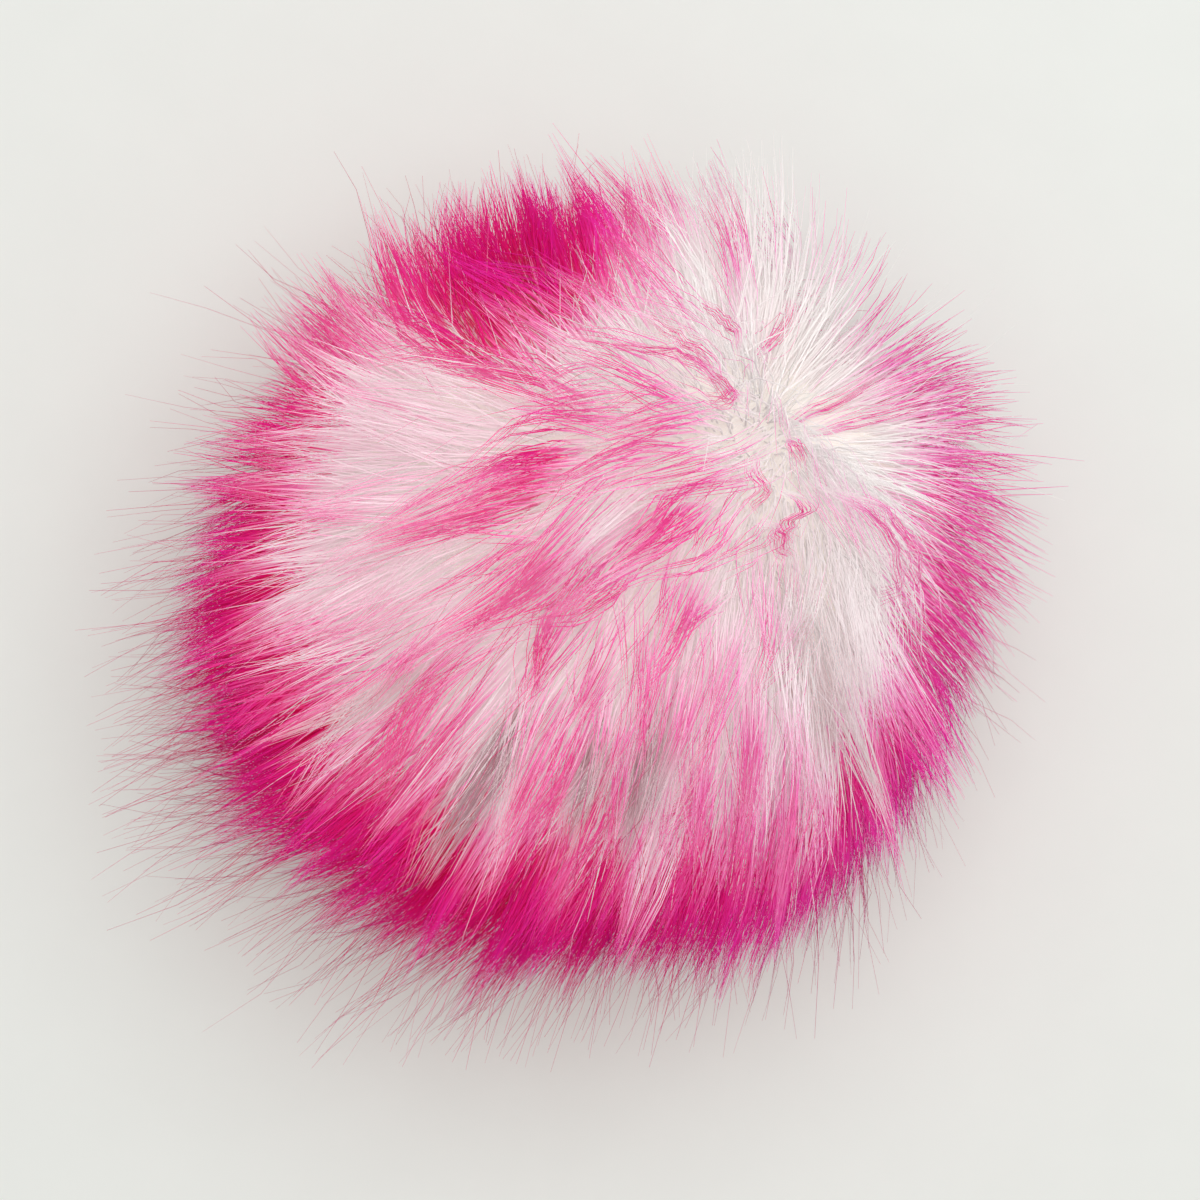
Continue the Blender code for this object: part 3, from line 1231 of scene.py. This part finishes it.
    def _grow_locks(self, share: Array, chance: np.random.Generator) -> Locks:
        """Grow the lines of the locks, and draw what sets each apart.

        Args:
            share: the places along a line, from 0 at its root to 1 at its tip.
            chance: the source of random numbers.

        Returns:
            The locks.
        """
        out = self.sites(self.locks, self.lock_jitter, chance)
        line = self._guides(out, chance, math.radians(self.angle_spread), self.lock_uneven)
        line += self.wave(share, self.lock_wave, ((self.lock_waves, 1.0),), len(out), chance)
        each = (len(out), 1)
        late = chance.normal(size=each) * self.lock_late
        tall = chance.uniform(size=each) < self.tall
        painted_gap_shade = chance.uniform(size=each) < self.painted_gap_shade
        return Locks(out, line, late, tall, painted_gap_shade)

    def _grow_tufts(self, locks: Locks, share: Array,
                    chance: np.random.Generator) -> tuple[Array, Array, Array, Array]:
        """Grow the lines of the tufts, drawn towards those of their locks: less so round the rim.

        Args:
            locks: the locks.
            share: the places along a line.
            chance: the source of random numbers.

        Returns:
            The tufts' directions, their lines, how far out on the rim each is, and the lock of each.
        """
        out = self.sites(self.tufts, self.tuft_jitter, chance)
        line = self._guides(out, chance, math.radians(self.angle_spread) * self.tuft_lean, self.tuft_uneven)
        lock = np.argmax(out @ locks.out.T, axis=1)
        firm = chance.uniform(*self.lock_gather_range, size=(len(out), 1, 1)) * self.lock_gather
        outer = ease(-out[:, 2:3], *self.outer_on) * (1 - self.ball.thinness(out))
        firm *= 1 - self.outer_lock_loosening * outer[:, :, None]
        return out, line + (locks.line[lock] - line) * self._pull(firm, share), outer, lock

    def _pull(self, firm: Array, share: Array) -> Array:
        """How far each point is drawn to another line: as firmly as its fibre is, and more near the tip."""
        return np.clip(firm * ease(share, *self.gather_on)[None, :, None], 0, self.most_gather)

    def _stretches(self, out: Array, locks: Locks, lock: Array,
                   chance: np.random.Generator) -> tuple[Array, Array]:
        """How long each fibre is for its place: locks come to a point, and the thin fringe is cut short.

        Args:
            out: the directions of the roots.
            locks: the locks.
            lock: the lock of each fibre.
            chance: the source of random numbers.

        Returns:
            The lengths as shares of the usual ones, and how much each fibre is cut short.
        """
        each = (len(out), 1)
        off_lock = angle_between(out, locks.out[lock]) / self.pitch(self.locks)
        rim = ease(-out[:, 2:3], *self.rim_on)
        stretch = self.longest - self.lock_point * np.clip(off_lock, 0, 1)
        stretch = stretch + chance.normal(size=each) * self.uneven
        stretch -= (self.rim_cut + np.abs(chance.normal(size=each)) * self.rim_uneven) * rim
        stretch += self.ball.tail(out) * np.where(chance.uniform(size=each) < self.tails, 1, 0) * rim
        short = self.ball.thinness(out) * ~(locks.tall[lock] & (chance.uniform(size=each) < self.tall_fibres))
        return stretch * (1 - self.thin_cut * short), short

    def _draw_together(self, out: Array, length: Array, tuft_line: Array, outer: Array, share: Array,
                       chance: np.random.Generator) -> Array:
        """The points of fibres that are drawn towards the lines of their tufts, apart from some strays.

        Args:
            out: the directions of the roots.
            length: each fibre's length.
            tuft_line: the line of each fibre's tuft.
            outer: how far out on the rim each fibre's tuft is.
            share: the places along a line.
            chance: the source of random numbers.

        Returns:
            The points.
        """
        count, spread = len(out), math.radians(self.angle_spread)
        tilt = chance.normal(size=(count, 1)) * spread * self.fibre_lean
        whorl = self.ball.whorl(out) * self.whorl_swing
        swing = chance.normal(size=(count, 1)) * (spread * self.fibre_lean + whorl)
        points = self.line(out, length, tilt, swing)
        firm = chance.uniform(*self.gather_range, size=(count, 1, 1)) * self.gather
        firm *= 1 - self.outer_loosening * outer[:, :, None]
        firm *= np.where(chance.uniform(size=(count, 1, 1)) < self.stray, self.stray_gather, 1.0)
        firm *= 1 - self.crown_loosening * within(out, self.ball.crown, *self.crown_loosening_on)[:, :, None]
        stretched = (length / self.length / self.ball.length(out))[:, :, None]
        target = points[:, :1] + (tuft_line - points[:, :1]) * np.clip(stretched, *self.stretch_limits)
        return points + (target - points) * self._pull(firm, share)

    def _guides(self, out: Array, chance: np.random.Generator, spread: float, uneven: float) -> Array:
        """Grow the guide lines of tufts or locks.

        Args:
            out: the directions that they grow in.
            chance: the source of random numbers.
            spread: how far they lean apart, in radians.
            uneven: how uneven their lengths are, as a share.

        Returns:
            The points of each line.
        """
        each = (len(out), 1)
        grown = 1 + np.clip(chance.normal(size=each), *self.guide_limits) * uneven
        length = self.length * self.ball.length(out) * grown
        tilt = chance.normal(size=each) * spread
        swing = chance.normal(size=each) * spread + self.sway(out) * self.sway_angle
        return self.line(out, length, tilt, swing)


@dataclass
class Underfur(Pile):
    """The short white fibres that fill the pile below its locks."""

    tufts: int = 7000
    tuft_jitter: float = 0.7
    stations: int = 3
    length: float = 0.0240
    angle_spread: float = 12.0
    root_thickness: float = 0.00030
    belly_thickness: float = 0.00024
    tip_thickness: float = 0.00003
    thin_cut: float = 0.45
    length_range: Range = (0.7, 1.25)
    thickness_range: Range = (0.8, 1.2)
    stand_up: float = 0.95
    stand_cut: float = 0.15
    unruly_whorl: float = 0.2
    unruly_loose: float = 1.1
    dye_after: float = 0.30
    dye_gain: float = 1.2
    most_dye: float = 0.7
    cream: float = 0.30
    cream_to: float = 0.8
    seed: int = 5

    def grow(self) -> tuple[Fibres, Array]:
        """Grow the underfur, evenly and without tufts. It stands up where the pile above it is combed apart.

        Returns:
            The fibres and their directions.
        """
        chance = np.random.default_rng(self.seed)
        spread = math.radians(self.angle_spread)
        share = np.linspace(0, 1, self.stations)
        out = self.sites(self.tufts, self.tuft_jitter, chance)
        each = (len(out), 1)
        length = self.length * self.ball.length(out) * chance.uniform(*self.length_range, size=each)
        length *= 1 - self.thin_cut * self.ball.thinness(out)
        tilt = chance.normal(size=each) * spread
        stands = self.ball.divide(out)
        tilt, length = tilt - stands * self.stand_up, length * (1 - stands * self.stand_cut)
        unruly = self.ball.whorl(out) * self.unruly_whorl + self.ball.loose(out) * self.unruly_loose
        swing = chance.normal(size=each) * (spread + unruly)
        thickness = self.thickness(share)[None, :] * chance.uniform(*self.thickness_range, size=each)
        points = self.settle(self.line(out, length, tilt, swing), thickness)
        dye = np.clip(self.dye_shift(points) - self.dye_after, 0, self.most_dye) * self.dye_gain
        tone = chance.uniform(0, 1, size=each)
        return self.bunch(points, thickness, dye, self.creamed(out, share), tone), out


@dataclass
class Wisps(Pile):
    """Fine stray fibres that stand out of the pile and wander."""

    tufts: int = 3300
    tuft_jitter: float = 0.6
    stations: int = 6
    length: float = 0.0370
    base_length: float = 0.85
    uneven: float = 0.10
    lean: float = 1.6
    lift: float = 0.9
    tip_thickness: float = 0.00002
    root_thickness: float = 0.00007
    belly_thickness: float = 0.00008
    thickness_range: Range = (0.7, 1.3)
    wander: float = 0.0022
    wander_parts: tuple[tuple[float, float], ...] = ((1.6, 1.0), (3.2, 0.50))
    dye_level: float = 1.0
    dye_uneven: float = 0.08
    crown_late: float = 0.9
    crown_late_on: Range = (0.4, 0.9)
    seed: int = 77

    def grow(self) -> tuple[Fibres, Array]:
        """Grow the wisps, each with a wander of its own.

        Returns:
            The fibres and their directions.
        """
        chance = np.random.default_rng(self.seed)
        spread = math.radians(self.angle_spread)
        out = self.sites(self.tufts, self.tuft_jitter, chance)
        each = (len(out), 1)
        share = np.linspace(0, 1, self.stations)
        length = self.length * self.ball.length(out) * (1 + chance.normal(size=each) * self.uneven)
        length *= self.base_length + self.ball.tail(out)
        tilt = chance.normal(size=each) * spread * self.lean - spread * self.lift
        swing = chance.normal(size=each) * spread * self.lean + self.sway(out) * self.sway_angle
        points = self.line(out, length, tilt, swing)
        points += self.wave(share, self.wander, self.wander_parts, len(out), chance)
        thickness = self.thickness(share)[None, :] * chance.uniform(*self.thickness_range, size=each)
        points = self.settle(points, thickness)
        late = chance.normal(size=each) * self.dye_uneven
        late = late + self.crown_late * within(out, self.ball.crown, *self.crown_late_on)
        dye = self.dyed(points, share[None, :], late)
        return self.bunch(points, thickness, dye, np.zeros_like(dye), chance.uniform(0, 1, size=each)), out


@dataclass(frozen=True)
class Curl:
    """A small curly tuft that lies loose on the pile, from one (tilt, turn) on the ball to another."""

    start: tuple[float, float]
    end: tuple[float, float]
    waves: float = 1.0
    sway: float = 0.0010
    bow: float = 0.0
    fibres: int = 16


@dataclass
class Curls(Pile):
    """The small curly tufts of dyed fibres that lie loose around the crown."""

    stations: int = 14
    depth: float = 0.0035
    lift: float = 0.0003
    spread: float = 0.0013
    spread_at_root: float = 0.3
    spread_on: Range = (0.0, 0.5)
    narrowing: float = 0.5
    nearness: float = 4.0
    height_spread: float = 0.4
    rank: float = 95.0
    sink_on: Range = (-0.1, 0.35)
    phase_spread: float = 0.55
    sway_range: Range = (0.7, 1.3)
    most_cut: float = 0.25
    cut_middle: float = 0.6
    root_thickness: float = 0.00005
    belly_thickness: float = 0.00008
    dye_uneven: float = 0.06
    dye_on: Range = (0.0, 0.5)
    seed: int = 4
    curls: tuple[Curl, ...] = (
        Curl((33, 50), (31, 63), 1.0, 0.0008), Curl((34, 53), (28, 60), 0.9, 0.0008),
        Curl((32, 55), (37, 81), 0.8), Curl((43, 57), (45, 71), 0.8),
        Curl((50, 53), (68, 56), 0.9), Curl((35, 52), (30, 92), 1.2, 0.0011),
        Curl((60, 38), (76, 35), 0.8, 0.0006), Curl((60, 34), (78, 27), 0.8, 0.0006),
        Curl((31, 36), (29, 28), 0.8, 0.0007), Curl((26, 37), (21, 18), 1.3, 0.0013),
        Curl((26, 23), (25, 6), 1.2, 0.0013), Curl((23, 16), (25, 2), 1.0, 0.0010),
        Curl((32, 24), (42, -8), 0.8, 0.0006), Curl((33, 20), (46, -6), 0.7, 0.0006, 0.0015),
    )

    def grow_on(self, pile: Fibres) -> Fibres:
        """Grow the curls.

        Args:
            pile: the fibres that the curls lie on.

        Returns:
            The fibres of every curl.
        """
        chance = np.random.default_rng(self.seed)
        share = np.linspace(0, 1, self.stations)
        rods = pile.points.reshape(-1, 3) - self.ball.centre
        reach = np.linalg.norm(rods, axis=1)
        ways = rods / reach[:, None]
        points = np.concatenate([self._curl(curl, ways, reach, share, chance) for curl in self.curls])
        each = (len(points), 1)
        thickness = self.thickness(share)[None, :] * chance.uniform(*self.thickness_range, size=each)
        dye = ease(share[None, :] + chance.normal(size=each) * self.dye_uneven, *self.dye_on) * self.dye_level
        return self.bunch(points, thickness, dye, np.zeros_like(dye), chance.uniform(0, 1, size=each))

    def _curl(self, curl: Curl, ways: Array, reach: Array, share: Array,
              chance: np.random.Generator) -> Array:
        """Grow one curl: its root in the pile and the rest on top of it.

        Args:
            curl: where it lies and how it waves.
            ways: the direction of each point of the pile.
            reach: how far out each of those points is.
            share: the places along a fibre.
            chance: the source of random numbers.

        Returns:
            The points of its fibres.
        """
        many = (curl.fibres, 1)
        first, last = heading(*curl.start), heading(*curl.end)
        out = unit(first + (last - first) * share[:, None])
        near = ways @ out.T > math.cos(math.radians(self.nearness))
        top = np.array([np.percentile(reach[here], self.rank) for here in near.T])
        across = unit(np.cross(out, last - first))
        phase = chance.uniform(0, 2 * math.pi) + chance.normal(size=many) * self.phase_spread
        sway = np.sin(share * curl.waves * 2 * math.pi + phase) * curl.sway
        sway *= chance.uniform(*self.sway_range, size=many)
        sway += curl.bow * np.sin(share * math.pi)
        wide = self.spread_at_root + (1 - self.spread_at_root) * ease(share, *self.spread_on)
        sway += self.spread * chance.normal(size=many) * (1 - self.narrowing * share) * wide
        height = top + self.lift + chance.normal(size=many) * self.spread * self.height_spread
        height -= self.depth * (1 - ease(share, *self.sink_on))
        line = self.ball.centre + out * height[..., None] + across * sway[..., None]
        cut = chance.uniform(0.0, self.most_cut, size=(*many, 1)) * (line[:, -1:] - line[:, :1])
        return line + cut * (self.cut_middle - share[None, :, None])


@dataclass
class DenseRoots:
    """The dense roots of the pile: the lumpy ball that is seen only where the pile parts."""

    ball: Ball
    subdivisions: int = 5
    tufts: Drift = Drift(31, 24.0, 11)
    ridge: float = 0.0008
    rise: float = 0.0070
    sink_whorl: float = 0.55
    sink_thin: float = 0.55
    sink_divide: float = 0.8
    floor_gap: float = 0.0003
    dye_after: float = 0.45
    dye_gain: float = 1.3
    most_dye: float = 0.6
    comb_stretch: float = 0.12

    def build(self, pile: Pile, finish: bpy.types.Material) -> bpy.types.Object:
        """Build the ball of roots and dress it.

        Args:
            pile: the pile above, whose dye reaches down to the roots in its deep patches.
            finish: the material of the roots.

        Returns:
            The finished object.
        """
        built = bmesh.new()
        bmesh.ops.create_icosphere(built, subdivisions=self.subdivisions, radius=1)
        mesh = made_mesh("dense_roots", built)
        out = np.empty(len(mesh.vertices) * 3)
        mesh.vertices.foreach_get("co", out)
        out = unit(out.reshape(-1, 3))
        rise = self.rise * (1 - self.sink_whorl * self.ball.whorl(out))
        rise *= 1 - self.sink_thin * self.ball.thinness(out)
        rise *= 1 - self.sink_divide * self.ball.divide(out)
        points = self.ball.surface(out) + out * (rise + self.tufts(out) * self.ridge)
        points[:, 2] = np.maximum(points[:, 2], self.ball.low.z + self.floor_gap)
        mesh.vertices.foreach_set("co", points.astype(np.float32).ravel())
        dye = np.clip(pile.dye_shift(points) - self.dye_after, 0, self.most_dye) * self.dye_gain
        store(mesh, "dye", dye)
        store(mesh, "combed", self.combed(out), "FLOAT_VECTOR")
        mesh.shade_smooth()
        mesh.materials.append(finish)
        return placed("dense_roots", mesh)

    def combed(self, out: Array) -> Array:
        """Where each direction lies on the combing: round the crown, as on a circle, and away from it.

        Args:
            out: directions from the centre.

        Returns:
            The place for each direction.
        """
        side = unit(np.cross(self.ball.crown, (0.0, 0.0, 1.0)))
        front = np.cross(side, self.ball.crown)
        around = np.arctan2(out @ front, out @ side)[:, None]
        away = angle_between(out, self.ball.crown) * self.comb_stretch
        return np.hstack((np.cos(around), np.sin(around), away))


@dataclass
class Studio:
    """A plain pale floor, soft light and a camera that looks straight down."""

    camera_height: float = 0.700
    camera_place: tuple[float, float] = (-0.0019, -0.0062)
    view_width: float = 0.2427
    sensor: float = 36.0
    sight: float = 20.0
    light_bounces: int = 8
    floor_size: float = 4.0
    floor_colour: Colour = shade(238, 241, 236)
    floor_dark: float = 0.965
    floor_roughness: float = 0.9
    grain_size: float = 60.0
    sky_colour: Colour = (1.0, 0.985, 0.965)
    sky_strength: float = 0.580
    key_colour: Colour = (0.95, 0.98, 1.0)
    key_place: tuple[float, float, float] = (0.20, 0.30, 1.35)
    key_aim: tuple[float, float, float] = (0.0, 0.0, 0.05)
    key_size: float = 1.4
    key_power: float = 10.6

    def build(self) -> None:
        """Make the floor, the lights and the camera."""
        self._floor()
        self._lights()
        self._camera()

    def _floor(self) -> None:
        """A wide floor with a faint grain."""
        built = bmesh.new()
        bmesh.ops.create_grid(built, x_segments=1, y_segments=1, size=self.floor_size / 2)
        finish = Finish("floor_paper", self.floor_colour, {"Roughness": self.floor_roughness})
        place = finish.recipe.node("ShaderNodeTexCoord").outputs["Object"]
        grain = finish.recipe.signal("ShaderNodeTexNoise", "Fac", None,
                                     {"Vector": place, "Scale": self.grain_size, "Detail": 6.0})
        light = (*self.floor_colour, 1.0)
        dark = (*(step * self.floor_dark for step in self.floor_colour), 1.0)
        mesh = made_mesh("floor", built)
        mesh.materials.append(finish.dress({"Base Color": finish.recipe.mix(grain, light, dark)}))
        placed("floor", mesh)

    def _lights(self) -> None:
        """An even sky and one large soft light to the back right."""
        world = bpy.data.worlds.new("soft_sky")
        world.use_nodes = True
        back = world.node_tree.nodes["Background"]
        back.inputs["Color"].default_value = (*self.sky_colour, 1.0)
        back.inputs["Strength"].default_value = self.sky_strength
        bpy.context.scene.world = world
        lamp = bpy.data.lights.new("softbox", "AREA")
        lamp.shape = "DISK"
        lamp.size = self.key_size
        lamp.energy = self.key_power
        lamp.color = self.key_colour
        key = placed("softbox", lamp)
        key.location = self.key_place
        aim = Vector(self.key_aim) - Vector(self.key_place)
        key.rotation_euler = aim.to_track_quat("-Z", "Y").to_euler()

    def _camera(self) -> None:
        """The camera, over the ball and looking straight down."""
        scene = bpy.context.scene
        lens = bpy.data.cameras.new("camera")
        lens.sensor_width = self.sensor
        lens.lens = self.sensor * self.camera_height / self.view_width
        lens.clip_end = self.sight
        scene.camera = placed("camera", lens)
        scene.camera.location = (*self.camera_place, self.camera_height)
        scene.view_settings.view_transform = "Standard"
        scene.cycles.diffuse_bounces = self.light_bounces


def attach(piece: bpy.types.Object) -> None:
    """Let a piece go with the ball's body.

    Args:
        piece: the finished piece, which is also reported.
    """
    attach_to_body(piece, BODY)
    log.info("%s: %d triangles", piece.name, sum(len(face.vertices) - 2 for face in piece.data.polygons))


def main() -> None:
    """Build the pom pom's looks around its solid."""
    logging.basicConfig(level=logging.INFO, format="%(message)s")
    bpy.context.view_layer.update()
    ball = Ball(*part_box(NODE))
    finish = FurFinish("dyed_fur").material()
    pile = Pile(ball, patches=PATCHES)
    roots = DenseRoots(ball).build(pile, RootFinish("packed_roots").material())
    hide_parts(NODE)
    attach(roots)
    sweep = FibreSweep()
    fibres, out = pile.grow()
    for region in Region:
        attach(sweep.piece("pile_" + region.value[0], fibres.chosen(region.holds(out)), finish))
    attach(sweep.piece("crown_curls", Curls(ball).grow_on(fibres), finish))
    fibres, _ = Underfur(ball, patches=PATCHES).grow()
    # The underfur takes a copy of the pile's finish with less painted glow and a duller white, so that it
    # reads as lying in shade.
    shaded = FurFinish("shaded_underfur", glow=0.28, white=shade(247, 246, 240)).material()
    attach(sweep.piece("underfur", fibres, shaded))
    fibres, _ = Wisps(ball, patches=PATCHES).grow()
    # The wisps have less of the painted glow, as single fibres that catch little light scattered between
    # others.
    single = FurFinish("single_fibres", glow=0.10, through=0.3).material()
    attach(sweep.piece("wisps", fibres, single))
    Studio().build()


if __name__ == "__main__":
    main()
